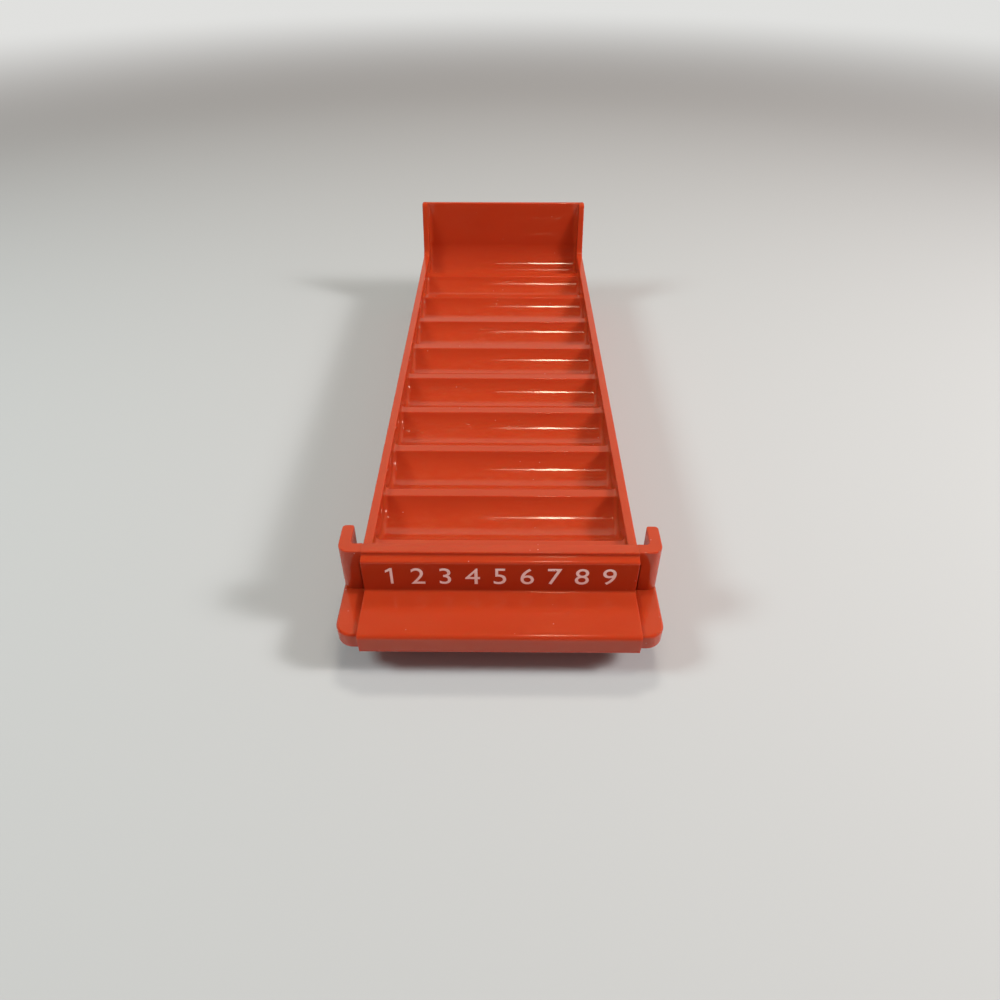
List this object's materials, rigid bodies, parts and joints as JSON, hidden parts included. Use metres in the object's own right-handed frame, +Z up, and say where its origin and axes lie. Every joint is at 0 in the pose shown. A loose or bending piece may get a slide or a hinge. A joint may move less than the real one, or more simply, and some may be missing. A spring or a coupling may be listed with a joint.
{
  "type": "rolled coin tray",
  "caption": "Open moulded tray that holds coin rolls side by side in round-bottomed channels, with a tall back stop, a label face, a pull ledge and hooked front ears.",
  "frame": {"origin": "centre of the overall box, on the surface that the tray stands on", "axes": "+X to the tray's right seen from the front, +Y from the pull ledge towards the tall back stop, +Z up"},
  "size_m": [0.102, 0.2586, 0.0589],
  "materials": {
    "orange_plastic": "glossy injection-moulded styrene, orange-red, lightly scuffed",
    "label_print": "thin white print on the label face"
  },
  "bodies": {
    "root": {"channel_bed": "orange_plastic", "left_side": "orange_plastic", "right_side": "orange_plastic", "back_stop": "orange_plastic", "front_panel": "orange_plastic", "pull_ledge": "orange_plastic", "left_ear": "orange_plastic", "right_ear": "orange_plastic"}
  },
  "joints": []
}
